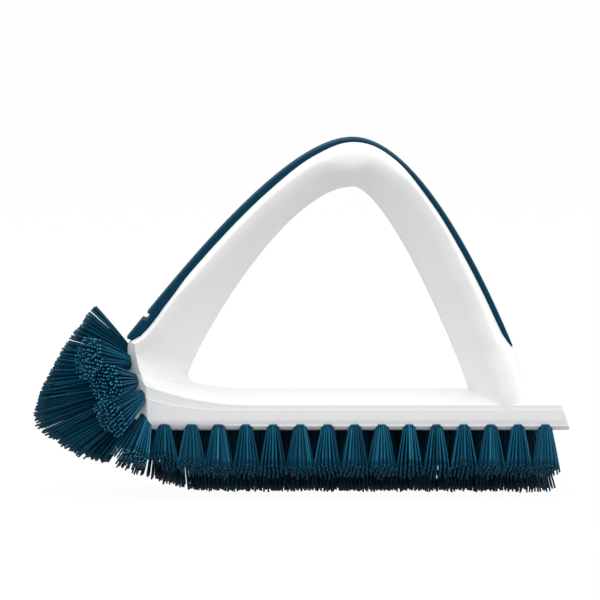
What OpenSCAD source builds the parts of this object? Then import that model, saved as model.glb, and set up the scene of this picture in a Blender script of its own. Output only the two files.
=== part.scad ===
// Grout brush: an arched handle in one moulding with its tufted base, a soft grip moulded on its
// crest, and stapled bristle tufts in three rows that run along the base and up the prow.
// Millimetres, +Z up. The brush stands on its centre row, the prow points to -X.

/* [Base] */
// Width of the base at its side walls
deck_w = 44; // [40:1:50]
// Height of the side walls, from the tufted face up to the step line
block_h = 8.6; // [8:0.2:12]
// Length of the flat tufted face, from the heel to the turn of the prow
flat_l = 164.7; // [150:0.1:180]
// Distance of the heel's lower edge from the origin
heel_x = 108.7; // [100:0.1:116]
// Radius of the turn from the flat face up into the prow
nose_r = 15.5; // [14:0.5:18]
// Radius of the prow's front, seen from above
prow_r = 30; // [27:1:36]
// Radius along the lower edges of the side walls
edge_r = 5; // [3:0.5:6]
// Width of the step between the side walls and the band above them
step_w = 0.4; // [0.2:0.1:0.8]
// Height of the band above the step line
band_h = 1.9; // [1:0.1:3]
// Rise of the crowned top above the band
crown_rise = 4.3; // [2:0.1:6]
// Lean of the heel's end face
heel_rake = 21; // [10:1:30]
// Radius of the heel's corners, seen from above
heel_corner_r = 4; // [2:0.5:8]
// Radius of the heel's lower edge
heel_edge_r = 1.5; // [1:0.5:3]
// Radius of the sweep by which the step line climbs towards the prow
step_sweep_r = 115; // [100:5:140]
// Length of the step line's climb
step_sweep_l = 41.5; // [36:0.5:46]
// Radius of the sweep by which the crowned top climbs towards the prow
top_sweep_r = 120; // [105:5:140]
// Length of the top's climb
top_sweep_l = 51.5; // [46:0.5:56]

/* [Arch] */
// Height of the arch's crest above the tufted face
arch_h = 117; // [105:1:130]
// Distance of the crest's top from the heel's lower edge
apex_back = 88; // [80:0.1:95]
// Thickness of the arch at its top, soft grip included
apex_t = 19.9; // [17:0.1:24]
// Half width of the arch at its top
apex_half_w = 15; // [13:0.5:17]
// Half width of the arch halfway down its legs
leg_half_w = 15; // [13:0.5:17]
// Height of the prow leg's crest above the crowned top, where it meets the prow's front
prow_foot_h = 18.4; // [14:0.1:24]
// How far that point lies in front of the prow
prow_foot_out = 1.5; // [0.5:0.5:3]
// Distance between the crest and the keel of the prow leg at its foot
prow_foot_t = 27.1; // [25:0.1:30]
// Half width of the prow leg at its foot
prow_foot_half_w = 13; // [12:0.5:16]
// Slope of the crest and of the keel at the prow leg's foot
prow_slopes = [51.2, 71];
// Reach of the crest's and the keel's straight run up from the prow leg's foot
prow_runs = [46.2, 16];
// Reach of the crest's and the keel's level run at the top, towards the prow
prow_top_runs = [25.5, 26];
// Distance of the heel leg's crest from the heel's lower edge, at the crowned top
heel_foot_back = 15.7; // [12:0.1:20]
// Depth of the heel leg at its foot, from the crest to the keel
heel_foot_t = 24.8; // [20:0.1:28]
// Slope of the crest and of the keel at the heel leg's foot
heel_slopes = [69.5, 70.9];
// Reach of the crest's and the keel's straight run up from the heel leg's foot
heel_runs = [48.1, 28.7];
// Reach of the crest's and the keel's level run at the top, towards the heel
heel_top_runs = [27, 12.7];
// Radius of the fillet between the prow leg's keel and the crowned top
foot_fillet_r = 5; // [3:0.5:8]

/* [Soft grip] */
// Width of the soft grip
grip_w = 17; // [14:0.5:19]
// Thickness of the soft grip at the top of the arch
grip_t = 2; // [1.5:0.1:3]
// Thickness of the soft grip halfway down the legs
grip_leg_t = 2.9; // [2:0.1:4]
// Thickness of the soft grip's heavy lower end
grip_end_t = 5.3; // [4:0.1:7]
// Flat land of the arch on either side of the soft grip
grip_land = 0.6; // [0.3:0.1:1.5]
// Length and depth of the notch across the soft grip
notch = [3.2, 2];
// Distance of the notch from the prow leg's foot
notch_up = 14.8; // [12:0.1:18]

/* [Tufts] */
// Diameter of the tuft holes
hole_d = 5.2; // [4.6:0.1:5.4]
// Depth of the tuft holes
hole_depth = 6.5; // [5:0.5:7]
// Distance between the tufts of a row
pitch = 10.95; // [10.6:0.05:12]
// Distance between the tufts round the turn of the prow
turn_pitch = 9.9; // [9.6:0.1:10.4]
// Distance between the tufts up the front of the prow
prow_pitch = 7.5; // [7.1:0.1:7.6]
// Distance of the side rows' first tufts behind the turn of the prow
row_start = 0.9; // [0.5:0.1:2]
// Least distance of the last tufts from the heel's lower edge
heel_margin = 9.7; // [7:0.1:12]
// Distance of the side rows from the middle
side_y = 19.5; // [18.5:0.1:20]
// Outward lean of the side rows
side_lean = 18; // [10:1:22]
// Length of the centre row's bristles
centre_l = 26.5; // [22:0.5:32]
// Height of the side rows' trim above the ground, at the middle of each tuft
side_trim_h = 10.3; // [6:0.1:12]
// Slope of the side rows' trim
side_trim_slope = 36; // [20:1:40]
// How far behind the turn the trim of the rows starts to climb towards the prow
toe_l = 24; // [12:1:30]
// Radius of that climb
toe_r = 77; // [60:1:100]
// Width of a bristle strand
strand_w = 1.05; // [0.8:0.05:1.1]
// Distance of the outer strands from the middle of the tuft, in its hole
strand_root_r = 1.55; // [1.5:0.05:1.7]
// Spread of the outer strands at the tips of the rows
row_spread = 5.2; // [4:0.1:5.2]
// Spread of the outer strands at the tips round the prow
prow_spread = 7; // [4:0.1:7]
// Gap between a tuft and its hole
hole_gap = 0.05; // [0.02:0.01:0.1]
// Thickness and height of a tuft anchor
anchor = [0.4, 2.2];
// Gap between an anchor and the filaments folded over it
anchor_gap = 0.05; // [0.02:0.01:0.1]
// Thickness of the fold of filaments under an anchor
fold_t = 1.2; // [0.8:0.1:1.6]

/* [Hidden] */
$fn = 64;
half_w = deck_w / 2;
band_half_w = half_w - step_w;
face_z = centre_l;
step_z = face_z + block_h;
ridge_z = step_z + band_h;
crown_z = ridge_z + crown_rise;
turn_x = heel_x - flat_l;
heel_end = heel_x - heel_edge_r * (1 / tan((90 - heel_rake) / 2) - 1);
prow_x = turn_x - nose_r;
apex = [heel_x - apex_back, face_z + arch_h];
cut_reach = 400;

// Crest and keel of the arch, each as one curve down to the prow and one down to the heel.
foot_z = crown_z - 0.7;
prow_keel_x = prow_x - prow_foot_out + prow_foot_t;
prow_keel_lift = pow(prow_x + top_sweep_l - prow_keel_x - foot_fillet_r, 2) / (2 * top_sweep_r);
prow_foot = [[prow_x - prow_foot_out, crown_z + prow_foot_h],
             [prow_keel_x, crown_z + prow_keel_lift + foot_fillet_r]];
heel_foot = [[heel_x - heel_foot_back, foot_z],
             [heel_x - heel_foot_back - heel_foot_t, foot_z]];
tops = [apex, apex - [0, apex_t]];
function heading(a, reach) = reach * [cos(a), sin(a)];
function prow_curve(i) = [
    prow_foot[i], prow_foot[i] + heading(prow_slopes[i], prow_runs[i]),
    tops[i] - [prow_top_runs[i], 0], tops[i]
];
function heel_curve(i) = [
    tops[i], tops[i] + [heel_top_runs[i], 0],
    heel_foot[i] + heading(180 - heel_slopes[i], heel_runs[i]), heel_foot[i]
];
function on_curve(c, t) = pow(1 - t, 3) * c[0] + 3 * pow(1 - t, 2) * t * c[1]
    + 3 * (1 - t) * t * t * c[2] + pow(t, 3) * c[3];

// A place along the arch runs from 0 at the prow foot over 1 at the top to 2 at the heel foot.
// The keel's bends keep each section square to the arch.
keel_bends = [0.68, 1.2];
function crest_at(s) = s < 1 ? on_curve(prow_curve(0), s) : on_curve(heel_curve(0), s - 1);
function keel_at(s) = s < 1 ? on_curve(prow_curve(1), pow(s, keel_bends[0]))
    : on_curve(heel_curve(1), pow(s - 1, keel_bends[1]));
prow_steps = 30;
heel_steps = 21;
grip_from = 1 / prow_steps;
grip_to = 1 + 19 / heel_steps;
places = concat([for (i = [0 : prow_steps - 1]) i / prow_steps],
                [for (i = [0 : heel_steps]) 1 + i / heel_steps]);
grip_places = [for (s = places) if (s >= grip_from - 0.001 && s <= grip_to + 0.001) s];
function half_w_at(s) = lookup(s, [
    [0, prow_foot_half_w], [0.25, leg_half_w], [1, apex_half_w], [1.5, leg_half_w],
    [1.7, leg_half_w + 0.8], [1.85, leg_half_w + 2.4], [1.95, leg_half_w + 4.4],
    [2, leg_half_w + 5.6]
]);
function grip_t_at(s) = lookup(s, [
    [0, 0], [grip_from, 2.5], [0.067, grip_end_t - 0.8], [0.1, grip_end_t],
    [0.17, (grip_end_t + grip_leg_t) / 2], [0.25, grip_leg_t], [0.55, grip_leg_t], [1, grip_t],
    [1.15, grip_t - 0.5], [1.27, grip_t], [1.58, grip_leg_t], [1.8, grip_t],
    [grip_to, 0.5], [2, 0]
]);
// Share of the depth at which the arch is widest, from the crest.
function wide_at(s) = lookup(s, [[0, 0.22], [0.3, 0.36], [0.8, 0.45], [1, 0.58], [1.2, 0.42],
                                 [1.5, 0.3], [1.8, 0.34], [2, 0.44]]);

// One section of the arch: a flat crest, round shoulders, two flat flanks and a blunt keel.
crest_half_w = grip_w / 2 + grip_land;
wide_run = 3;
shoulder_n = 5;
function keel_blunt_at(s) = lookup(s, [[0, 2.4], [0.3, 1.6], [1.6, 1.6], [2, 4]]);
function side_profile(depth, us, uw, w, keel_blunt) = let (
        shoulder = [for (k = [0 : shoulder_n]) let (a = 90 * k / shoulder_n)
            [us + (uw - us) * (1 - cos(a)), crest_half_w + (w - crest_half_w) * sin(a)]],
        turn = [uw + wide_run, w],
        tip = [depth + keel_blunt, 0],
        flank_0 = turn + (tip - turn) * 0.22,
        flank_1 = turn + (tip - turn) * (depth - keel_blunt - turn[0]) / (tip[0] - turn[0])
    ) concat(shoulder, [
        (shoulder[shoulder_n] + 2 * turn + flank_0) / 4, flank_0, flank_1,
        [depth - keel_blunt / 4, flank_1[1] / 2]
    ]);
function mirrored(side, end) = concat(side, end, [for (k = [len(side) - 1 : -1 : 0])
    [side[k][0], -side[k][1]]]);
function to_space(outline, crest, keel) = let (way = (keel - crest) / norm(keel - crest))
    [for (p = outline) [crest[0] + way[0] * p[0], p[1], crest[1] + way[1] * p[0]]];
function arch_ring(crest, keel, us, wide, w, keel_blunt) = let (depth = norm(keel - crest))
    to_space(mirrored(side_profile(depth, us, wide * depth, w, keel_blunt), [[depth, 0]]),
             crest, keel);
function arch_ring_at(s) = arch_ring(crest_at(s), keel_at(s), grip_t_at(s), wide_at(s),
                                     half_w_at(s), keel_blunt_at(s));

// Below the prow leg's foot the keel turns out into the crowned top along a fillet, and the leg
// flares to the width of the base.
fillet_n = 5;
flare_w = band_half_w - 0.2;
function fillet_ring(k) = let (
        a = 180 + 100 * k / fillet_n,
        keel = prow_foot[1] + foot_fillet_r * [1 + cos(a), sin(a)],
        sunk = [prow_foot[0][0] - 4, prow_foot[0][1] - 4 - 4 * k]
    ) arch_ring(sunk, keel, 0, lookup(k, [[0, 0.22], [1, 0.4], [2, 0.48], [fillet_n, 0.55]]),
                lookup(k, [[0, prow_foot_half_w], [1, 0.45 * prow_foot_half_w + 0.55 * flare_w],
                           [2, 0.1 * prow_foot_half_w + 0.9 * flare_w], [3, flare_w]]),
                lookup(k, [[0, 2.4], [fillet_n, 6]]));
heel_root_ring = arch_ring(heel_foot[0] + [2.9, -8.3], heel_foot[1] + [2.9, -8.3], 0, 0.5,
                           flare_w, 6);
arch_rings = concat([for (k = [fillet_n : -1 : 1]) fillet_ring(k)],
                    [for (s = places) if (s < 1.99) arch_ring_at(s)], [heel_root_ring]);

grip_side = [[1, 1], [0.45, 1], [0.12, 0.93], [0, 0.74]];
function grip_ring_at(s) = let (t = grip_t_at(s), r = grip_w / 2)
    to_space(mirrored([for (p = grip_side) [p[0] * t, p[1] * r]], []), crest_at(s), keel_at(s));

// Skin over a row of rings with the same number of points, closed by flat ends.
module skin(rings) {
    n = len(rings[0]);
    m = len(rings);
    sides = [for (i = [0 : m - 2], k = [0 : n - 1]) let (
            a = i * n + k, b = i * n + (k + 1) % n, c = a + n, d = b + n
        ) each [[a, b, d], [a, d, c]]];
    ends = [[for (k = [n - 1 : -1 : 0]) k], [for (k = [0 : n - 1]) (m - 1) * n + k]];
    polyhedron(points = [for (r = rings) each r], faces = concat(sides, ends), convexity = 6);
}

module along_y(width) {
    rotate([90, 0, 0])
        translate([0, 0, -width / 2])
            linear_extrude(width) children();
}

module along_x(from, to) {
    translate([from, 0, 0])
        rotate([90, 0, 90])
            linear_extrude(to - from) children();
}

// The base seen from above: straight sides, a round prow and small corners at the heel.
module plan(w) {
    heel_corner_x = heel_x - heel_corner_r;
    intersection() {
        translate([prow_x, -w]) square([heel_x - prow_x, 2 * w]);
        union() {
            translate([prow_x + prow_r, 0]) circle(prow_r);
            translate([prow_x + prow_r, -w]) square([heel_corner_x - prow_x - prow_r, 2 * w]);
            translate([heel_corner_x - 1, heel_corner_r - w])
                square([heel_corner_r + 1, 2 * (w - heel_corner_r)]);
            for (side = [-1, 1])
                translate([heel_corner_x, side * (w - heel_corner_r)]) circle(heel_corner_r);
        }
    }
}

// The base seen from the side, under a top at height top: raked heel, flat face, turn and prow.
module profile(top) {
    back = (top - face_z) * tan(heel_rake);
    round_run = heel_edge_r / tan((90 - heel_rake) / 2);
    round_x = heel_x - round_run;
    hull_z = face_z + nose_r;
    translate([turn_x, hull_z]) circle(nose_r);
    translate([prow_x, hull_z]) square([nose_r, top - hull_z]);
    polygon([
        [turn_x, face_z], [round_x, face_z],
        [heel_x - round_run * sin(heel_rake), face_z + round_run * cos(heel_rake)],
        [heel_x - back, top], [turn_x, top]
    ]);
    translate([round_x, face_z + heel_edge_r]) circle(heel_edge_r);
}

// What the prow and the heel leave of anything that stands on the base.
module base_reach() {
    intersection() {
        linear_extrude(cut_reach) plan(half_w);
        along_y(cut_reach) profile(cut_reach / 2);
    }
}

// Side walls with round lower edges, up to the step line.
module block() {
    sweep_x = prow_x + step_sweep_l;
    intersection() {
        linear_extrude(cut_reach) plan(half_w);
        along_y(cut_reach) difference() {
            profile(step_z + nose_r);
            translate([sweep_x, step_z]) square(cut_reach);
            translate([sweep_x, step_z + step_sweep_r]) circle(step_sweep_r, $fn = 180);
        }
        along_x(prow_x, heel_x) {
            translate([-half_w, face_z + edge_r]) square([deck_w, cut_reach]);
            translate([edge_r - half_w, face_z]) square([deck_w - 2 * edge_r, cut_reach]);
            for (side = [-1, 1])
                translate([side * (half_w - edge_r), face_z + edge_r]) circle(edge_r);
        }
    }
}

// Section of the crowned top, as a shape whose origin is the step line.
module top_section() {
    crown_r = (pow(band_half_w, 2) + pow(crown_rise, 2)) / (2 * crown_rise);
    sunk = block_h - 2;
    intersection() {
        translate([-band_half_w, -sunk]) square([2 * band_half_w, sunk + band_h + crown_rise]);
        translate([0, band_h + crown_rise - crown_r]) circle(crown_r, $fn = 180);
    }
}

module crowned_top() {
    sweep_x = prow_x + top_sweep_l;
    along_x(sweep_x, heel_x) translate([0, step_z]) top_section();
    translate([sweep_x, 0, step_z + top_sweep_r])
        rotate([0, 90, 0])
            rotate([-90, 0, 0])
                rotate_extrude(angle = asin(top_sweep_l / top_sweep_r) + 2, $fn = 360)
                    translate([top_sweep_r, 0]) rotate(90) top_section();
}

// A tuft is the place of its hole's mouth, its way out, its reach and spread, and the face that
// trims it, as a vector square to the cut.
function unit(v) = v / norm(v);
function tuft(at, way, reach, spread, cut) = [at, unit(way), reach, spread, unit(cut)];
function flipped(v, side) = [v[0], side * v[1], v[2]];
function aimed(heading, lift) = [-cos(heading) * cos(lift), sin(heading) * cos(lift), sin(lift)];

// The trim of the rows climbs towards the prow.
toe_x = turn_x + toe_l;
function toe_run(x) = max(0, toe_x - x);
function toe_lift(x) = pow(toe_run(x), 2) / (2 * toe_r);
function toe_slope(x) = min(toe_run(x) / toe_r, toe_lift(x) / (row_spread + strand_w));

row_x = turn_x + row_start;
row_n = floor((heel_x - heel_margin - row_x) / pitch) + 1;
side_inset = max(0, side_y - half_w + edge_r);
side_z = face_z + edge_r - sqrt(pow(edge_r, 2) - pow(side_inset, 2));
function side_tuft(x, side) = tuft(
    [x, side * side_y, side_z], [0, side * sin(side_lean), -cos(side_lean)],
    (side_z - side_trim_h - toe_lift(x)) / cos(side_lean), row_spread,
    [toe_slope(x), -side * tan(side_trim_slope), 1]
);
function side_row(side) = [for (i = [0 : row_n - 1]) side_tuft(row_x + pitch * i, side)];

// The middle line of the tufted face, as a length from the turn: round the turn and up the prow.
turn_end = nose_r * PI / 2;
turn_span = 180 / (PI * nose_r);
function mid_face(l) = l < turn_end
    ? [turn_x - nose_r * sin(l * turn_span), 0, face_z + nose_r * (1 - cos(l * turn_span))]
    : [prow_x, 0, face_z + nose_r + l - turn_end];
mid_first = pitch / 2 - row_start;
function mid_row_tuft(i) = let (x = row_x + pitch * (i - 0.5))
    i > 0 ? tuft([x, 0, face_z], [0, 0, -1], centre_l - toe_lift(x), row_spread,
                 [toe_slope(x), 0, 1])
        : tuft(mid_face(mid_first), aimed(0, mid_first * turn_span - 90), 20.7, row_spread,
               aimed(0, 18 - 90));
centre_row = [for (i = [0 : row_n - 1]) mid_row_tuft(i)];

// Up the middle of the prow: length along the face, lift, reach, and lift of the trim.
turn_end_tuft = mid_first + 2 * turn_pitch;
front_lift = -14;
prow_centre = [for (t = [
    [mid_first + turn_pitch, -39, 28.5, -64],
    [turn_end_tuft, front_lift, (heel_end + prow_x) / cos(front_lift), 0],
    [turn_end_tuft + prow_pitch, 0, 30.5, 26],
    [turn_end_tuft + 2 * prow_pitch, 24, 21.3, 36]
]) tuft(mid_face(t[0]), aimed(0, t[1]), t[2], prow_spread, aimed(0, t[3]))];

// Up the sides of the prow: height above the face, distance from the middle, set back from the
// prow's front, heading away from the middle, lift and reach.
function prow_side(side) = [for (t = [
    [4.3, half_w - 2.8, 1.6, 60, -50, 19],
    [13.7, half_w - 2.8, 0, 46, -23, 19],
    [19.7, half_w - 6.8, 0, 50, 0, 17.5],
    [26.7, half_w - 11.8, 0, 38, 8, 20.5]
]) let (y = t[1], x = prow_x + prow_r - sqrt(pow(prow_r, 2) - y * y) + t[2])
    tuft([x, side * y, face_z + t[0]], flipped(aimed(t[3], t[4]), side), t[5], prow_spread,
         flipped(aimed(t[3], t[4]), side))];

// Across, along and out of a tuft, where across follows the row.
function tuft_frame(t) = let (
        w = t[1],
        row = abs(w[0]) < 0.5 ? [1, 0, 0] : [0, 0, 1],
        v = unit(cross(w, row))
    ) [cross(v, w), v, w];

// Places a shape made at the origin, +Z out of the hole, in the mouth of a tuft's hole.
module in_mouth(t) {
    f = tuft_frame(t);
    multmatrix([[f[0][0], f[1][0], f[2][0], t[0][0]], [f[0][1], f[1][1], f[2][1], t[0][1]],
                [f[0][2], f[1][2], f[2][2], t[0][2]], [0, 0, 0, 1]]) children();
}

module tuft_hole(t) {
    over = 4;
    in_mouth(t) translate([0, 0, -hole_depth]) cylinder(d = hole_d, h = hole_depth + over);
}

anchor_z = hole_gap + fold_t - hole_depth;
anchor_w = 2 * sqrt(pow(hole_d / 2 - hole_gap, 2) - pow(anchor[0] / 2, 2));
module tuft_anchor(t) {
    in_mouth(t) translate([0, 0, anchor_z + anchor[1] / 2])
        cube([anchor_w, anchor[0], anchor[1]], center = true);
}

// One strand: a square prism from inside the root to the trim, which cuts it flush.
sunk = 1.2;
function strand_points(t, a, root_r, tip_r) = let (
        f = tuft_frame(t),
        out = f[0] * cos(a) + f[1] * sin(a),
        root = t[0] + root_r * out,
        way = unit(t[0] + t[2] * t[1] + tip_r * out - root),
        over = unit(cross(way, out)) * strand_w / 2,
        up = cross(over, way),
        corners = [over + up, up - over, -over - up, over - up],
        trim_at = t[0] + t[2] * t[1]
    ) concat(
        [for (c = corners) root + c - sunk * way],
        [for (c = corners) root + c + way * ((trim_at - root - c) * t[4]) / (way * t[4])]
    );
strand_faces = [
    [0, 2, 1], [0, 3, 2], [4, 5, 6], [4, 6, 7], [0, 5, 4], [0, 1, 5],
    [1, 6, 5], [1, 2, 6], [2, 7, 6], [2, 3, 7], [3, 4, 7], [3, 0, 4]
];
strand_turns = [for (k = [0 : 5]) 30 + 60 * k];
function tuft_strands(t) = concat([strand_points(t, 0, 0, 0)],
    [for (a = strand_turns) strand_points(t, a, strand_root_r, t[3])]);

// A tuft: its root, folded over the anchor in the hole, and its strands.
module tuft_solid(t) {
    root_h = hole_depth - hole_gap;
    slot = [hole_d, anchor[0] + 2 * anchor_gap, anchor[1] + 2 * anchor_gap];
    in_mouth(t) difference() {
        translate([0, 0, -root_h]) cylinder(d = hole_d - 2 * hole_gap, h = root_h);
        translate([0, 0, anchor_z + anchor[1] / 2]) cube(slot, center = true);
    }
    for (points = tuft_strands(t)) polyhedron(points, strand_faces);
}

BRISTLE = [0.04, 0.36, 0.47];
METAL = [0.8, 0.78, 0.7];
prow_tufts = concat(prow_side(-1), prow_centre, prow_side(1));

module moulded_body() {
    color("white") difference() {
        union() {
            block();
            intersection() {
                union() {
                    crowned_top();
                    skin(arch_rings);
                }
                base_reach();
            }
        }
        for (t = concat(side_row(-1), centre_row, side_row(1), prow_tufts)) tuft_hole(t);
    }
}

module soft_grip() {
    color([0.02, 0.22, 0.32]) difference() {
        skin([for (s = grip_places) grip_ring_at(s)]);
        translate([prow_foot[0][0], 0, prow_foot[0][1]])
            rotate([0, -prow_slopes[0], 0])
                translate([notch_up, 0, 0])
                    cube([notch[0], deck_w, 2 * notch[1]], center = true);
    }
}

module left_row_tufts() { color(BRISTLE) for (t = side_row(-1)) tuft_solid(t); }
module centre_row_tufts() { color(BRISTLE) for (t = centre_row) tuft_solid(t); }
module right_row_tufts() { color(BRISTLE) for (t = side_row(1)) tuft_solid(t); }
module left_row_anchors() { color(METAL) for (t = side_row(-1)) tuft_anchor(t); }
module centre_row_anchors() { color(METAL) for (t = centre_row) tuft_anchor(t); }
module right_row_anchors() { color(METAL) for (t = side_row(1)) tuft_anchor(t); }
module prow_anchors() { color(METAL) for (t = prow_tufts) tuft_anchor(t); }
module prow_tuft_left_1() { color(BRISTLE) tuft_solid(prow_side(-1)[0]); }
module prow_tuft_left_2() { color(BRISTLE) tuft_solid(prow_side(-1)[1]); }
module prow_tuft_left_3() { color(BRISTLE) tuft_solid(prow_side(-1)[2]); }
module prow_tuft_left_4() { color(BRISTLE) tuft_solid(prow_side(-1)[3]); }
module prow_tuft_centre_1() { color(BRISTLE) tuft_solid(prow_centre[0]); }
module prow_tuft_centre_2() { color(BRISTLE) tuft_solid(prow_centre[1]); }
module prow_tuft_centre_3() { color(BRISTLE) tuft_solid(prow_centre[2]); }
module prow_tuft_centre_4() { color(BRISTLE) tuft_solid(prow_centre[3]); }
module prow_tuft_right_1() { color(BRISTLE) tuft_solid(prow_side(1)[0]); }
module prow_tuft_right_2() { color(BRISTLE) tuft_solid(prow_side(1)[1]); }
module prow_tuft_right_3() { color(BRISTLE) tuft_solid(prow_side(1)[2]); }
module prow_tuft_right_4() { color(BRISTLE) tuft_solid(prow_side(1)[3]); }

moulded_body();
soft_grip();
left_row_tufts();
centre_row_tufts();
right_row_tufts();
left_row_anchors();
centre_row_anchors();
right_row_anchors();
prow_anchors();
prow_tuft_left_1();
prow_tuft_left_2();
prow_tuft_left_3();
prow_tuft_left_4();
prow_tuft_centre_1();
prow_tuft_centre_2();
prow_tuft_centre_3();
prow_tuft_centre_4();
prow_tuft_right_1();
prow_tuft_right_2();
prow_tuft_right_3();
prow_tuft_right_4();
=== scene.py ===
import math
import random

import bmesh
import bpy
from mathutils import Matrix, Vector


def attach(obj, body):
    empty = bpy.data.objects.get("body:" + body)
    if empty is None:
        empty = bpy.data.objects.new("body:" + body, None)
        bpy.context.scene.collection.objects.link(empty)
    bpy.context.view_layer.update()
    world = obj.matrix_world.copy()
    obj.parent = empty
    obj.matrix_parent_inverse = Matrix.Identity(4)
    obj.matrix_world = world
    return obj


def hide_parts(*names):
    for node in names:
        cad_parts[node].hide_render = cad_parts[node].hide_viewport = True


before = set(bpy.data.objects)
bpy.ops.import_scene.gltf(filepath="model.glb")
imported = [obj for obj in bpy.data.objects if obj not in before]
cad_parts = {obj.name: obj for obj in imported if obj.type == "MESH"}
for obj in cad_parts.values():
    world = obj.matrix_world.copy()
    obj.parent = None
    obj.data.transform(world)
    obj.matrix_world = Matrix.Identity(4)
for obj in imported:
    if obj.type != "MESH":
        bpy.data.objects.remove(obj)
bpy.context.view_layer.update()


# The camera stands level with the middle of the brush's left side, a little above it, behind
# a long lens. The prow points to the left of the picture.
MM = 0.001
LOOK_AT = Vector((-0.5 * MM, 0, 77.6 * MM))
CAMERA_LIFT = math.radians(5)
CAMERA_AWAY = 2.5
FRAME_WIDTH = 243 * MM
SENSOR_WIDTH = 36
CLIP_END = 40

camera_data = bpy.data.cameras.new("camera")
camera_data.sensor_width = SENSOR_WIDTH
camera_data.lens = SENSOR_WIDTH * CAMERA_AWAY / FRAME_WIDTH
camera_data.clip_end = CLIP_END
camera = bpy.data.objects.new("camera", camera_data)
bpy.context.scene.collection.objects.link(camera)
camera.location = LOOK_AT + CAMERA_AWAY * Vector(
    (0, -math.cos(CAMERA_LIFT), math.sin(CAMERA_LIFT)))
camera.rotation_euler = (math.pi / 2 - CAMERA_LIFT, 0, 0)
bpy.context.scene.camera = camera


# The handle and the tufted base are one moulding in white polypropylene. Its satin skin has a
# fine grain, and a faint ripple in tint and gloss. The other moulded skins share that grain.
def moulded_grain_group():
    group = bpy.data.node_groups.new("moulded_grain", "ShaderNodeTree")
    socket = group.interface.new_socket
    socket("Vector", in_out="INPUT", socket_type="NodeSocketVector")
    for name, value in (("Grain Scale", 900), ("Grain Depth", 0.00002), ("Ripple Scale", 40),
                        ("Roughness Low", 0.3), ("Roughness High", 0.45)):
        socket(name, in_out="INPUT", socket_type="NodeSocketFloat").default_value = value
    socket("Roughness", in_out="OUTPUT", socket_type="NodeSocketFloat")
    socket("Ripple", in_out="OUTPUT", socket_type="NodeSocketFloat")
    socket("Height", in_out="OUTPUT", socket_type="NodeSocketFloat")
    nodes, links = group.nodes, group.links
    taken = nodes.new("NodeGroupInput")
    given = nodes.new("NodeGroupOutput")
    grain = nodes.new("ShaderNodeTexNoise")
    grain.inputs["Detail"].default_value = 3
    links.new(taken.outputs["Vector"], grain.inputs["Vector"])
    links.new(taken.outputs["Grain Scale"], grain.inputs["Scale"])
    ripple = nodes.new("ShaderNodeTexNoise")
    ripple.inputs["Detail"].default_value = 2
    links.new(taken.outputs["Vector"], ripple.inputs["Vector"])
    links.new(taken.outputs["Ripple Scale"], ripple.inputs["Scale"])
    gloss = nodes.new("ShaderNodeMapRange")
    links.new(ripple.outputs["Fac"], gloss.inputs["Value"])
    gloss.inputs["From Min"].default_value = 0.35
    gloss.inputs["From Max"].default_value = 0.65
    links.new(taken.outputs["Roughness Low"], gloss.inputs["To Min"])
    links.new(taken.outputs["Roughness High"], gloss.inputs["To Max"])
    depth = nodes.new("ShaderNodeMath")
    depth.operation = "MULTIPLY"
    links.new(grain.outputs["Fac"], depth.inputs[0])
    links.new(taken.outputs["Grain Depth"], depth.inputs[1])
    links.new(gloss.outputs["Result"], given.inputs["Roughness"])
    links.new(ripple.outputs["Fac"], given.inputs["Ripple"])
    links.new(depth.outputs["Value"], given.inputs["Height"])
    return group


moulded_grain = moulded_grain_group()


def moulded_material(name, pale, deep, grain_scale, grain_depth, low, high):
    material = bpy.data.materials.new(name)
    material.use_nodes = True
    nodes, links = material.node_tree.nodes, material.node_tree.links
    shader = nodes["Principled BSDF"]
    place = nodes.new("ShaderNodeTexCoord")
    grain = nodes.new("ShaderNodeGroup")
    grain.node_tree = moulded_grain
    links.new(place.outputs["Object"], grain.inputs["Vector"])
    grain.inputs["Grain Scale"].default_value = grain_scale
    grain.inputs["Grain Depth"].default_value = grain_depth
    grain.inputs["Roughness Low"].default_value = low
    grain.inputs["Roughness High"].default_value = high
    tint = nodes.new("ShaderNodeMix")
    tint.data_type = "RGBA"
    tint.inputs["A"].default_value = (*deep, 1)
    tint.inputs["B"].default_value = (*pale, 1)
    links.new(grain.outputs["Ripple"], tint.inputs["Factor"])
    links.new(tint.outputs["Result"], shader.inputs["Base Color"])
    links.new(grain.outputs["Roughness"], shader.inputs["Roughness"])
    bump = nodes.new("ShaderNodeBump")
    bump.inputs["Distance"].default_value = 1
    bump.inputs["Strength"].default_value = 0.5
    links.new(grain.outputs["Height"], bump.inputs["Height"])
    links.new(bump.outputs["Normal"], shader.inputs["Normal"])
    return material


white_plastic = moulded_material("white_plastic", (0.9, 0.9, 0.9), (0.86, 0.865, 0.87),
                                 700, 0.00003, 0.34, 0.46)
white_shader = white_plastic.node_tree.nodes["Principled BSDF"]
white_shader.inputs["Subsurface Weight"].default_value = 0.06
white_shader.inputs["Subsurface Scale"].default_value = 0.002


def smooth_piece(bm, name, node, material, crease):
    for face in bm.faces:
        face.smooth = True
        face.material_index = 0
    for edge in bm.edges:
        edge.smooth = not edge.is_manifold or edge.calc_face_angle(0) < math.radians(crease)
    mesh = bpy.data.meshes.new(name)
    bm.to_mesh(mesh)
    bm.free()
    piece = bpy.data.objects.new(name, mesh)
    bpy.context.scene.collection.objects.link(piece)
    mesh.materials.append(material)
    weighted = piece.modifiers.new("even_normals", "WEIGHTED_NORMAL")
    weighted.keep_sharp = True
    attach(piece, "root")
    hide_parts(node)


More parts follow.
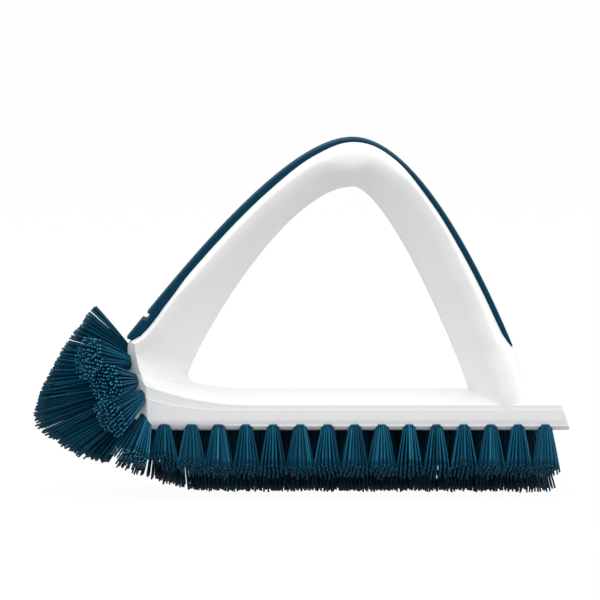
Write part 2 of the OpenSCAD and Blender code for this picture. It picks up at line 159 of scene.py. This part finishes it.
# The base keeps the shape of its node under a line, which is given here as seen from the side.
# The arch above it is its own piece, so a prism over that line cuts it off.
MERGED = 0.002 * MM
SLIVER = 0.001 * MM
CUTTER_HALF_W = 60 * MM
BASE_CREASE = 30
BASE_TOP = ((-85, 53), (-62, 47.8), (-52, 45.8), (-44, 44.2), (-20, 42), (120, 42), (120, 200),
            (-85, 200))
base = bmesh.new()
base.from_mesh(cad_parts["moulded_body"].data)
bmesh.ops.remove_doubles(base, verts=base.verts, dist=MERGED)
bmesh.ops.dissolve_degenerate(base, edges=base.edges, dist=SLIVER)
base_mesh = bpy.data.meshes.new("base_whole")
base.to_mesh(base_mesh)
base.free()
base_whole = bpy.data.objects.new("base_whole", base_mesh)
cutter = bmesh.new()
outline = [cutter.verts.new((x * MM, -CUTTER_HALF_W, z * MM)) for x, z in BASE_TOP]
side = bmesh.ops.contextual_create(cutter, geom=outline)["faces"]
far_side = bmesh.ops.extrude_face_region(cutter, geom=side)["geom"]
bmesh.ops.translate(cutter, verts=[part for part in far_side
                                   if isinstance(part, bmesh.types.BMVert)],
                    vec=(0, 2 * CUTTER_HALF_W, 0))
bmesh.ops.recalc_face_normals(cutter, faces=cutter.faces)
cutter_mesh = bpy.data.meshes.new("arch_cutter")
cutter.to_mesh(cutter_mesh)
cutter.free()
arch_cutter = bpy.data.objects.new("arch_cutter", cutter_mesh)
for helper in (base_whole, arch_cutter):
    bpy.context.scene.collection.objects.link(helper)
cut = base_whole.modifiers.new("arch_cut", "BOOLEAN")
cut.operation = "DIFFERENCE"
cut.solver = "EXACT"
cut.object = arch_cutter
base = bmesh.new()
base.from_object(base_whole, bpy.context.evaluated_depsgraph_get())
for helper in (base_whole, arch_cutter):
    bpy.data.objects.remove(helper)
bmesh.ops.remove_doubles(base, verts=base.verts, dist=MERGED)
smooth_piece(base, "base_moulding", "moulded_body", white_plastic,
             BASE_CREASE)


# The arch rises from the prow to the top and falls to the heel, in one shot with the base. Its
# section is a round back with two flat flanks that meet in a blunt keel. Both legs spread to
# the width of the base, the prow's leg with a fillet at its keel.
def on_curve(points, t):
    u = 1 - t
    a, b, c, d = (Vector(point) for point in points)
    return u ** 3 * a + 3 * u * u * t * b + 3 * u * t * t * c + t ** 3 * d


def heading(angle, reach):
    return Vector((math.cos(math.radians(angle)), math.sin(math.radians(angle)))) * reach


def looked_up(table, s):
    for (s0, v0), (s1, v1) in zip(table, table[1:]):
        if s <= s1:
            t = max(0, s - s0) / (s1 - s0)
            return v0 + (v1 - v0) * t * t * (3 - 2 * t)
    return table[-1][1]


# Places along the arch run from 0 at the prow's foot over 1 at the top to 2 at the heel's foot.
# Each table below pairs such places with sizes in mm, or with shares of the section's depth.
APEX = Vector((20.7, 143.5))
APEX_T = 19.9
PROW_FOOT = (Vector((-73, 59.7)), Vector((-45.9, 47.82)))
HEEL_FOOT = (Vector((93, 40.6)), Vector((68.2, 40.6)))
TOPS = (APEX, APEX - Vector((0, APEX_T)))
PROW_CURVES = [
    (PROW_FOOT[i], PROW_FOOT[i] + heading(slope, run), TOPS[i] - Vector((top_run, 0)), TOPS[i])
    for i, (slope, run, top_run) in enumerate(((51.2, 46.2, 25.5), (71, 16, 26)))]
HEEL_CURVES = [
    (TOPS[i], TOPS[i] + Vector((top_run, 0)), HEEL_FOOT[i] + heading(180 - slope, run),
     HEEL_FOOT[i])
    for i, (slope, run, top_run) in enumerate(((69.5, 48.1, 27), (70.9, 28.7, 12.7)))]
KEEL_BENDS = (0.68, 1.2)
GRIP_T = ((0, 0), (0.028, 2.4), (0.04, 3.7), (0.06, 4.4), (0.1, 4.5), (0.17, 3.9), (0.27, 3),
          (0.6, 2.7), (0.8, 2.1), (1, 1.3), (1.12, 1), (1.22, 1.1), (1.4, 2), (1.6, 2.3),
          (1.78, 2.3), (1.83, 2.1), (1.855, 1.3), (1.864, 0.6), (1.87, 0))
HALF_WIDTH = ((0, 16), (0.06, 15.4), (0.15, 15), (1.5, 15), (1.7, 16), (1.85, 18),
              (1.95, 20.4), (2, 21.7))
WIDE_SHARE = ((0, 0.1), (0.1, 0.16), (0.3, 0.27), (0.8, 0.3), (1, 0.5), (1.18, 0.29),
              (1.35, 0.17), (1.5, 0.18), (1.7, 0.25), (1.85, 0.33), (2, 0.44))
KEEL_BLUNT = ((0, 2.4), (0.3, 1.6), (1.6, 1.6), (2, 2))
CREST_HALF_W = 9.1
SHOULDER_STEPS = 6
SHOULDER_MIN = 1.5
CORNER_RUN = 3
CORNER_STOPS = (0.25, 0.5, 0.75, 1)
CORNER_REACH = 1.3


def crest_at(s):
    return on_curve(PROW_CURVES[0], s) if s < 1 else on_curve(HEEL_CURVES[0], s - 1)


def keel_at(s):
    if s < 1:
        return on_curve(PROW_CURVES[1], s ** KEEL_BENDS[0])
    return on_curve(HEEL_CURVES[1], (s - 1) ** KEEL_BENDS[1])


def in_space(outline, crest, keel):
    way = (keel - crest).normalized()
    return [Vector((crest.x + way.x * u, y, crest.y + way.y * u)) for u, y in outline]


def arch_section(crest, keel, sunk, share, half_w, blunt):
    depth = (keel - crest).length
    wide = max(share * depth, sunk + SHOULDER_MIN)
    half = []
    for k in range(SHOULDER_STEPS + 1):
        a = math.radians(90 * k / SHOULDER_STEPS)
        half.append((sunk + (wide - sunk) * (1 - math.cos(a)),
                     CREST_HALF_W + (half_w - CREST_HALF_W) * math.sin(a)))
    shoulder = Vector(half[-1])
    corner = Vector((wide + CORNER_RUN, half_w))
    flank = Vector((depth + blunt, 0)) - corner
    on_flank = corner + flank.normalized() * CORNER_RUN * CORNER_REACH
    for t in CORNER_STOPS:
        point = (1 - t) ** 2 * shoulder + 2 * t * (1 - t) * corner + t * t * on_flank
        half.append((point.x, point.y))
    end = corner + flank * (depth - blunt - corner.x) / flank.x
    half.append((end.x, end.y))
    half.append((depth - blunt / 4, end.y / 2))
    whole = half + [(depth, 0)] + [(u, -y) for u, y in reversed(half)]
    return in_space(whole, crest, keel)


def loft(rings):
    bm = bmesh.new()
    before = None
    for ring in rings:
        verts = [bm.verts.new(point * MM) for point in ring]
        edges = [bm.edges.new((verts[i - 1], verts[i])) for i in range(len(verts))]
        if before is None:
            bmesh.ops.contextual_create(bm, geom=edges)
        else:
            bmesh.ops.bridge_loops(bm, edges=before + edges)
        before = edges
    bmesh.ops.contextual_create(bm, geom=before)
    bmesh.ops.recalc_face_normals(bm, faces=bm.faces)
    return bm


# Under the prow's leg, from below: steps round the fillet, the crest's height, the half width
# and the share. Under the heel's leg: how far down, and the half width.
PROW_ROOT = ((5, 36, 21.4, 0.48), (4, 41, 21.3, 0.44), (3, 45, 21, 0.38), (2, 49, 19.7, 0.3),
             (1, 53, 18, 0.2))
PROW_ROOT_X = -77
FILLET_R = 5
FILLET_STEP = 20
ARCH_STEPS = 40
HEEL_ROOT = ((4.2, 21.9), (8.3, 21.6))
HEEL_ROOT_LEAN = 0.35
HEEL_ROOT_SHARE = 0.5
PROW_FRONT = -71.5
PLAN_R = 30
IN_BASE_Z = 51
IN_BASE = 0.4
ARCH_CREASE = 35
rings = []
for k, front_z, half_w, share in PROW_ROOT:
    turn = math.radians(180 + FILLET_STEP * k)
    keel = PROW_FOOT[1] + FILLET_R * Vector((1 + math.cos(turn), math.sin(turn)))
    rings.append(arch_section(Vector((PROW_ROOT_X, front_z)), keel, 0, share, half_w,
                              KEEL_BLUNT[0][1]))
for i in range(2 * ARCH_STEPS + 1):
    s = i / ARCH_STEPS
    rings.append(arch_section(crest_at(s), keel_at(s), looked_up(GRIP_T, s),
                              looked_up(WIDE_SHARE, s), looked_up(HALF_WIDTH, s),
                              looked_up(KEEL_BLUNT, s)))
for down, half_w in HEEL_ROOT:
    shift = Vector((HEEL_ROOT_LEAN * down, -down))
    rings.append(arch_section(HEEL_FOOT[0] + shift, HEEL_FOOT[1] + shift, 0, HEEL_ROOT_SHARE,
                              half_w, KEEL_BLUNT[-1][1]))
# The prow is round in plan. The leg ends at that round, and a little inside it where the base
# lies around the leg.
for ring in rings:
    for point in ring:
        if point.x < PROW_FRONT + PLAN_R:
            front = PROW_FRONT + PLAN_R - math.sqrt(PLAN_R ** 2 - point.y ** 2)
            point.x = max(point.x, front + (0 if point.z > IN_BASE_Z else IN_BASE))
smooth_piece(loft(rings), "arch_moulding", "moulded_body", white_plastic,
             ARCH_CREASE)


# The soft grip is a dark blue rubber strip, moulded on the crest of the arch in a second shot.
# Its skin is matt, with a fine spark-eroded grain. A notch crosses its heavy lower end.
soft_rubber = moulded_material("soft_rubber", (0.0015, 0.041, 0.08), (0.0012, 0.035, 0.069),
                               1500, 0.00006, 0.55, 0.68)
soft_rubber.node_tree.nodes["Principled BSDF"].inputs["Specular IOR Level"].default_value = 0.06
# The strip's edge: shares of its thickness and of its half width, from its bed to its back.
GRIP_SIDE = ((1.03, 1), (0.45, 1), (0.2, 0.96), (0.06, 0.88), (0, 0.76))
GRIP_HALF_W = 8.5
GRIP_ENDS = (0.028, 1.864)
GRIP_STEPS = 80
GRIP_MIN_T = 0.25
GRIP_CREASE = 40
NOTCH = (0.098, 0.118)
NOTCH_DEPTH = 1.7
NOTCH_WALL = 0.001
NOTCH_CLEAR = 0.004


def grip_section(s, thick, cut):
    half = [(cut + u * (thick - cut), y * GRIP_HALF_W) for u, y in GRIP_SIDE]
    return in_space(half + [(u, -y) for u, y in reversed(half)], crest_at(s), keel_at(s))


rings = []
stops = [GRIP_ENDS[0] + i * (GRIP_ENDS[1] - GRIP_ENDS[0]) / GRIP_STEPS
         for i in range(GRIP_STEPS + 1)]
stops = [s for s in stops if not NOTCH[0] - NOTCH_CLEAR < s < NOTCH[1] + NOTCH_CLEAR]
for edge, out in ((NOTCH[0], -1), (NOTCH[1], 1)):
    stops += [edge, edge + NOTCH_WALL * out]
for s in sorted(stops):
    cut = NOTCH_DEPTH if NOTCH[0] <= s <= NOTCH[1] else 0
    rings.append(grip_section(s, max(GRIP_MIN_T, looked_up(GRIP_T, s)), cut))
smooth_piece(loft(rings), "grip_strip", "soft_grip", soft_rubber, GRIP_CREASE)


# The side rows are tufts of nylon filament, folded in the middle and stapled into round holes.
# They lean outwards, fan out from a round bundle at the hole, and are trimmed to a slope. Each
# filament is a closed tube, with painted shade on its tip and a painted highlight on its cut
# end.
FILAMENT_R = 0.38 * MM
FILAMENT_SIDES = 6
FILAMENT_STEPS = (0.12, 0.42, 0.86, 1.0)
FILAMENT_BOW = 0.1
FILAMENT_SUNK = 1.5 * MM
PACKED_REACH = 6
STRAY = 0.03
OVERLONG = 0.1
SHADE_STEP = 0.1
SHADE_ENDS = (0.05, 0.85)
TIP_PAINTED_SHADE = 0.65
CUT_END_PAINTED_HIGHLIGHT = 0.45
BUNDLE_L = 1.2 * MM
BUNDLE_SUNK = 0.4 * MM
BUNDLE_SIDES = 24
BUNDLE_TAPER = 0.95
BUNDLE_SHADE = 0.85
HOLE_R = 2.55 * MM
TURN_X = -56 * MM
ROW_START = 0.9 * MM
ROW_X = TURN_X + ROW_START
PITCH = 10.95 * MM
ROW_N = 15
TOE_X = TURN_X + 24 * MM
TOE_R = 77 * MM
TUFT_REACH = 6.25 * MM


def bristle_material():
    material = bpy.data.materials.new("bristle_nylon")
    material.use_nodes = True
    nodes, links = material.node_tree.nodes, material.node_tree.links
    shader = nodes["Principled BSDF"]
    shader.inputs["Specular IOR Level"].default_value = 0.1
    tone = nodes.new("ShaderNodeAttribute")
    tone.attribute_name = "filament_tone"
    # The tone ramp runs from a near-black painted shade at 0, through the nylon's own blue near
    # the middle, to a pale painted highlight at 1 for the cut ends.
    ramp = nodes.new("ShaderNodeValToRGB")
    ramp.color_ramp.elements[0].position = 0
    ramp.color_ramp.elements[0].color = (0.0003, 0.006, 0.012, 1)
    ramp.color_ramp.elements[1].position = 1
    ramp.color_ramp.elements[1].color = (0.045, 0.36, 0.54, 1)
    middle = ramp.color_ramp.elements.new(0.5)
    middle.color = (0.0009, 0.078, 0.146, 1)
    links.new(tone.outputs["Fac"], ramp.inputs["Fac"])
    links.new(ramp.outputs["Color"], shader.inputs["Base Color"])
    place = nodes.new("ShaderNodeTexCoord")
    grain = nodes.new("ShaderNodeGroup")
    grain.node_tree = moulded_grain
    links.new(place.outputs["Object"], grain.inputs["Vector"])
    grain.inputs["Ripple Scale"].default_value = 220
    grain.inputs["Roughness Low"].default_value = 0.3
    grain.inputs["Roughness High"].default_value = 0.44
    links.new(grain.outputs["Roughness"], shader.inputs["Roughness"])
    return material


bristle_nylon = bristle_material()


def filament_mesh():
    bm = bmesh.new()
    bmesh.ops.create_circle(bm, cap_ends=True, radius=FILAMENT_R, segments=FILAMENT_SIDES)
    loop = list(bm.edges)
    along = 0
    for step in FILAMENT_STEPS:
        made = bmesh.ops.extrude_edge_only(bm, edges=loop)["geom"]
        ring = [part for part in made if isinstance(part, bmesh.types.BMVert)]
        loop = [part for part in made if isinstance(part, bmesh.types.BMEdge)
                and part.verts[0] in ring and part.verts[1] in ring]
        bmesh.ops.translate(bm, verts=ring, vec=(0, 0, step - along))
        along = step
    for face in bm.faces:
        face.smooth = True
    bmesh.ops.contextual_create(bm, geom=loop)
    bmesh.ops.recalc_face_normals(bm, faces=bm.faces)
    mesh = bpy.data.meshes.new("filament")
    bm.to_mesh(mesh)
    bm.free()
    return mesh


filament = filament_mesh()


def packed_spots(count):
    spots = []
    around = range(-PACKED_REACH, PACKED_REACH + 1)
    for i in around:
        for j in around:
            x, y = i + 0.5 * j, j * math.sqrt(3) / 2
            spots.append((round(x * x + y * y, 6), x, y))
    spots.sort()
    kept = spots[:count]
    reach = math.sqrt(kept[-1][0])
    return [(x / reach, y / reach) for _, x, y in kept]


# A tuft starts at a point on the face and points along a way. Its filaments end on the nearest
# of its cuts, each a point and a direction that looks out of the tuft. The last faces of each
# filament are its tip, darkened as painted shade, and its cut end, brightened as a painted
# highlight.
def tuft_mesh(rng, at, way, reach, spread, cuts, count, ragged, shade):
    bm = bmesh.new()
    tone = bm.faces.layers.float.new("filament_tone")
    way = way.normalized()
    row = Vector((1, 0, 0)) if abs(way.x) < 0.5 else Vector((0, 0, 1))
    side = way.cross(row).normalized()
    row = side.cross(way)
    middle = at + way * reach
    turn = rng.uniform(0, math.tau)
    c, s = math.cos(turn), math.sin(turn)
    for x, y in packed_spots(count):
        spot = (x * c - y * s) * row + (x * s + y * c) * side
        jitter = Vector((rng.gauss(0, 1), rng.gauss(0, 1), rng.gauss(0, 1)))
        root = at + spot * (HOLE_R - FILAMENT_R) - way * FILAMENT_SUNK
        line = middle + spot * spread + jitter * STRAY * spread - root
        line *= min((point - root).dot(face) / line.dot(face) for point, face in cuts
                    if line.dot(face) > 0)
        line += line.normalized() * rng.uniform(-ragged, OVERLONG * ragged)
        turned = line.to_track_quat("Z", "Y").to_matrix()
        bow = spot * spread * FILAMENT_BOW
        own_shade = min(SHADE_ENDS[1], max(SHADE_ENDS[0], rng.gauss(shade, SHADE_STEP)))
        old_verts, old_faces = len(bm.verts), len(bm.faces)
        bm.from_mesh(filament)
        bm.verts.ensure_lookup_table()
        bm.faces.ensure_lookup_table()
        for vert in bm.verts[old_verts:]:
            along = vert.co.z
            vert.co = root + turned @ Vector((vert.co.x, vert.co.y, along * line.length))
            vert.co += bow * along * (1 - along)
        for face in bm.faces[old_faces:]:
            face[tone] = own_shade
        # Painted shade: the last faces towards the tip are darkened, as if in the shadow of the
        # trim.
        for face in bm.faces[-1 - FILAMENT_SIDES:]:
            face[tone] = own_shade * TIP_PAINTED_SHADE
        # Painted highlight: the cut end is brightened, as if it caught the light.
        bm.faces[-1][tone] = min(1, own_shade + CUT_END_PAINTED_HIGHLIGHT)
    seat = Matrix.Translation(at - way * (BUNDLE_SUNK + BUNDLE_L / 2))
    bundle = bmesh.ops.create_cone(
        bm, cap_ends=True, segments=BUNDLE_SIDES, radius1=BUNDLE_TAPER * HOLE_R, radius2=HOLE_R,
        depth=BUNDLE_L, matrix=seat @ way.to_track_quat("Z", "Y").to_matrix().to_4x4())["verts"]
    for face in {face for vert in bundle for face in vert.link_faces}:
        face[tone] = shade * BUNDLE_SHADE
        face.smooth = len(face.verts) == 4
    mesh = bpy.data.meshes.new("tuft")
    bm.to_mesh(mesh)
    bm.free()
    return mesh


def bristle_piece(name, node, tufts, count, seed, ragged, shade):
    bm = bmesh.new()
    rng = random.Random(seed)
    for at, way, reach, spread, cuts in tufts:
        tuft = tuft_mesh(rng, at, way, reach, spread, cuts, count, ragged, shade)
        bm.from_mesh(tuft)
        bpy.data.meshes.remove(tuft)
    mesh = bpy.data.meshes.new(name)
    bm.to_mesh(mesh)
    bm.free()
    mesh.materials.append(bristle_nylon)
    piece = bpy.data.objects.new(name, mesh)
    bpy.context.scene.collection.objects.link(piece)
    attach(piece, "root")
    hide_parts(node)


def toe_lift(x):
    return max(0, TOE_X - x) ** 2 / (2 * TOE_R)


def toe_slope(x):
    return min(max(0, TOE_X - x) / TOE_R, toe_lift(x) / TUFT_REACH)


SIDE_Y = 19.5 * MM
SIDE_Z = 27.17 * MM
SIDE_LEAN = math.radians(18)
SIDE_TRIM_Z = 10.3 * MM
SIDE_TRIM_SLOPE = math.tan(math.radians(36))
SIDE_SPREAD = 5.9 * MM
SIDE_OPEN = 0.8 * MM
SIDE_FILAMENTS = 37
SIDE_RAGGED = 0.8 * MM
SIDE_SHADE = 0.46
for name, side, seed in (("left", -1, 11), ("right", 1, 12)):
    row = []
    for i in range(ROW_N):
        x = ROW_X + PITCH * i
        at = Vector((x, side * SIDE_Y, SIDE_Z))
        way = Vector((0, side * math.sin(SIDE_LEAN), -math.cos(SIDE_LEAN)))
        reach = (SIDE_Z - SIDE_TRIM_Z - toe_lift(x)) / math.cos(SIDE_LEAN)
        trim = Vector((-toe_slope(x), side * SIDE_TRIM_SLOPE, -1))
        tip = at + way * reach
        at += Vector((0, side * SIDE_OPEN, 0))
        row.append((at, tip - at, (tip - at).length, SIDE_SPREAD, [(tip, trim)]))
    bristle_piece(name + "_row_bristles", name + "_row_tufts", row, SIDE_FILAMENTS, seed,
                  SIDE_RAGGED, SIDE_SHADE)


# The centre row stands upright between the side rows, half a pitch out of step with them. It is
# longer than they are, and the brush stands on its ends. Its first tuft sits in the turn.
MID_FIRST = PITCH / 2 - ROW_START
MID_SPREAD = 7.4 * MM
END_SPREAD = 10.5 * MM
FIRST_SPREAD = 10 * MM
FIRST_REACH = 20.7 * MM
MID_FILAMENTS = 61
MID_SEED = 13
MID_RAGGED = 1.2 * MM
# Painted shade: the centre row's filaments are coloured much darker than the side rows, as if
# in the shadow under the base.
MID_PAINTED_SHADE = 0.16
FACE_Z = 26.5 * MM
NOSE_R = 15.5 * MM
PROW_X = TURN_X - NOSE_R


def mid_face(l):
    if l < NOSE_R * math.pi / 2:
        a = l / NOSE_R
        return Vector((TURN_X - NOSE_R * math.sin(a), 0, FACE_Z + NOSE_R * (1 - math.cos(a))))
    return Vector((PROW_X, 0, FACE_Z + NOSE_R + l - NOSE_R * math.pi / 2))


def aimed(swing, lift, side=1):
    swing, lift = math.radians(swing), math.radians(lift)
    return Vector((-math.cos(swing) * math.cos(lift),
                   side * math.sin(swing) * math.cos(lift), math.sin(lift)))


# Places and slopes of the trim that rounds the brush's toe, seen from the side.
TOE_TRIM = [(Vector((x * MM, 0, z * MM)), aimed(0, lift)) for x, z, lift in (
    (-90.96, 65.7, 36.6), (-101.8, 48.5, 27.9), (-106.8, 37.2, 16.5), (-108, 30, 0),
    (-105.8, 25.7, -37), (-98.1, 19.4, -57.8), (-83.9, 12.6, -70.8), (-65, 6.7, -72.2))]
FLOOR_TRIM = (Vector((0, 0, 0)), Vector((0, 0, -1)))
row = [(mid_face(MID_FIRST), aimed(0, math.degrees(MID_FIRST / NOSE_R) - 90), FIRST_REACH,
        FIRST_SPREAD, TOE_TRIM)]
for i in range(1, ROW_N):
    x = ROW_X + PITCH * (i - 0.5)
    tip = Vector((x, 0, toe_lift(x)))
    spread = MID_SPREAD if 1 < i < ROW_N - 1 else END_SPREAD
    row.append((Vector((x, 0, FACE_Z)), Vector((0, 0, -1)), FACE_Z - tip.z, spread,
                [(tip, Vector((-toe_slope(x), 0, -1))), FLOOR_TRIM]))
bristle_piece("centre_row_bristles", "centre_row_tufts", row, MID_FILAMENTS, MID_SEED,
              MID_RAGGED, MID_PAINTED_SHADE)


# Round the prow the tufts carry on up its front, four in the middle and four on either side, so
# close that their filaments make one fan. The fan is trimmed to the same round toe.
TURN_PITCH = 9.9 * MM
TURN_END = MID_FIRST + 2 * TURN_PITCH
PROW_PITCH = 7.5 * MM
PROW_RAGGED = 1.0 * MM
PROW_MID_FILAMENTS = 121
PROW_MID_SEED = 20
PROW_MID_SHADE = 0.44
for k, (l, lift, reach, spread) in enumerate((
        (MID_FIRST + TURN_PITCH, -39, 28.5, 13), (TURN_END, -14, 37.6, 15),
        (TURN_END + PROW_PITCH, 0, 30.5, 13), (TURN_END + 2 * PROW_PITCH, 24, 21.3, 13.5))):
    tuft = (mid_face(l), aimed(0, lift), reach * MM, spread * MM, TOE_TRIM)
    bristle_piece(f"prow_centre_bristles_{k + 1}", f"prow_tuft_centre_{k + 1}", [tuft],
                  PROW_MID_FILAMENTS, PROW_MID_SEED + k, PROW_RAGGED, PROW_MID_SHADE)

HALF_W = 22 * MM
PROW_R = 30 * MM
PROW_SIDE_FILAMENTS = 91
PROW_SIDE_SHADE = 0.46
for name, side, seed in (("left", -1, 30), ("right", 1, 50)):
    for k, (up, inset, back, swing, lift, reach, spread) in enumerate((
            (4.3, 2.8, 1.6, 60, -50, 19, 8), (13.7, 2.8, 0, 46, -23, 19, 9),
            (19.7, 6.8, 0, 50, 0, 17.5, 9), (26.7, 11.8, 0, 38, 8, 20.5, 9.5))):
        y = HALF_W - inset * MM
        x = PROW_X + PROW_R - math.sqrt(PROW_R ** 2 - y ** 2) + back * MM
        at = Vector((x, side * y, FACE_Z + up * MM))
        way = aimed(swing, lift, side)
        reach *= MM
        tuft = (at, way, reach, spread * MM, [(at + way * reach, way), *TOE_TRIM])
        bristle_piece(f"prow_{name}_bristles_{k + 1}", f"prow_tuft_{name}_{k + 1}", [tuft],
                      PROW_SIDE_FILAMENTS, seed + k, PROW_RAGGED, PROW_SIDE_SHADE)


# The anchors are flat pieces of drawn steel wire, pressed across the folded filaments at the
# bottom of each hole. They don't show from outside.
def anchor_material():
    material = bpy.data.materials.new("anchor_wire")
    material.use_nodes = True
    nodes, links = material.node_tree.nodes, material.node_tree.links
    shader = nodes["Principled BSDF"]
    shader.inputs["Metallic"].default_value = 1
    shader.inputs["Base Color"].default_value = (0.62, 0.6, 0.56, 1)
    place = nodes.new("ShaderNodeTexCoord")
    stretch = nodes.new("ShaderNodeMapping")
    stretch.inputs["Scale"].default_value = (1, 1, 30)
    drawn = nodes.new("ShaderNodeTexNoise")
    drawn.inputs["Scale"].default_value = 400
    gloss = nodes.new("ShaderNodeMapRange")
    gloss.inputs["To Min"].default_value = 0.28
    gloss.inputs["To Max"].default_value = 0.5
    links.new(place.outputs["Object"], stretch.inputs["Vector"])
    links.new(stretch.outputs["Vector"], drawn.inputs["Vector"])
    links.new(drawn.outputs["Fac"], gloss.inputs["Value"])
    links.new(gloss.outputs["Result"], shader.inputs["Roughness"])
    return material


anchor_wire = anchor_material()
for node in ("left_row_anchors", "centre_row_anchors", "right_row_anchors", "prow_anchors"):
    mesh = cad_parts[node].data
    mesh.materials.clear()
    mesh.materials.append(anchor_wire)


# The studio: a pale floor that runs out of sight, a white room, and soft lamps overhead, in
# front and at both ends.
bpy.context.scene.view_settings.view_transform = "Standard"


# How far a ray shows the white background: camera rays, gloss, and what is seen through glass.
def background_share(nodes, links):
    seen = nodes.new("ShaderNodeLightPath")
    total = seen.outputs["Is Camera Ray"]
    for kind in ("Is Glossy Ray", "Is Transmission Ray"):
        add = nodes.new("ShaderNodeMath")
        add.operation = "ADD"
        add.use_clamp = True
        links.new(total, add.inputs[0])
        links.new(seen.outputs[kind], add.inputs[1])
        total = add.outputs["Value"]
    return total


FLOOR_SIZE = 9
floor_mesh = bpy.data.meshes.new("floor")
bm = bmesh.new()
bmesh.ops.create_grid(bm, x_segments=1, y_segments=1, size=FLOOR_SIZE)
bm.to_mesh(floor_mesh)
bm.free()
floor = bpy.data.objects.new("floor", floor_mesh)
bpy.context.scene.collection.objects.link(floor)
floor_material = bpy.data.materials.new("floor_pale")
floor_material.use_nodes = True
nodes, links = floor_material.node_tree.nodes, floor_material.node_tree.links
floor_shader = nodes["Principled BSDF"]
floor_shader.inputs["Base Color"].default_value = (0.44, 0.44, 0.44, 1)
floor_shader.inputs["Roughness"].default_value = 0.8
glow = nodes.new("ShaderNodeEmission")
glow.inputs["Color"].default_value = (1, 1, 1, 1)
glow.inputs["Strength"].default_value = 1.06
share = nodes.new("ShaderNodeMath")
share.operation = "MULTIPLY"
share.inputs[1].default_value = 0.9
links.new(background_share(nodes, links), share.inputs[0])
both = nodes.new("ShaderNodeMixShader")
links.new(share.outputs["Value"], both.inputs["Fac"])
links.new(floor_shader.outputs["BSDF"], both.inputs[1])
links.new(glow.outputs["Emission"], both.inputs[2])
links.new(both.outputs["Shader"], nodes["Material Output"].inputs["Surface"])
floor_mesh.materials.append(floor_material)

world = bpy.data.worlds.new("white_room")
bpy.context.scene.world = world
world.use_nodes = True
nodes, links = world.node_tree.nodes, world.node_tree.links
room = nodes["Background"]
room.inputs["Color"].default_value = (1, 1, 1, 1)
level = nodes.new("ShaderNodeMapRange")
level.inputs["To Min"].default_value = 0.71
level.inputs["To Max"].default_value = 1
links.new(background_share(nodes, links), level.inputs["Value"])
links.new(level.outputs["Result"], room.inputs["Strength"])

LAMPS_AIM = Vector((0, 0, 0.06))
for name, place, size, power in (("overhead", (-0.1, -0.1, 1.3), 1.6, 11),
                                 ("front", (-0.3, -1.5, 0.7), 1.0, 3.4),
                                 ("heel side", (1.4, -0.05, 0.45), 1.0, 5.5),
                                 ("prow side", (-1.4, -0.1, 0.45), 1.0, 2)):
    lamp_data = bpy.data.lights.new(name, "AREA")
    lamp_data.size = size
    lamp_data.energy = power
    lamp = bpy.data.objects.new(name, lamp_data)
    bpy.context.scene.collection.objects.link(lamp)
    lamp.location = place
    lamp.rotation_euler = (LAMPS_AIM - lamp.location).to_track_quat("-Z", "Y").to_euler()
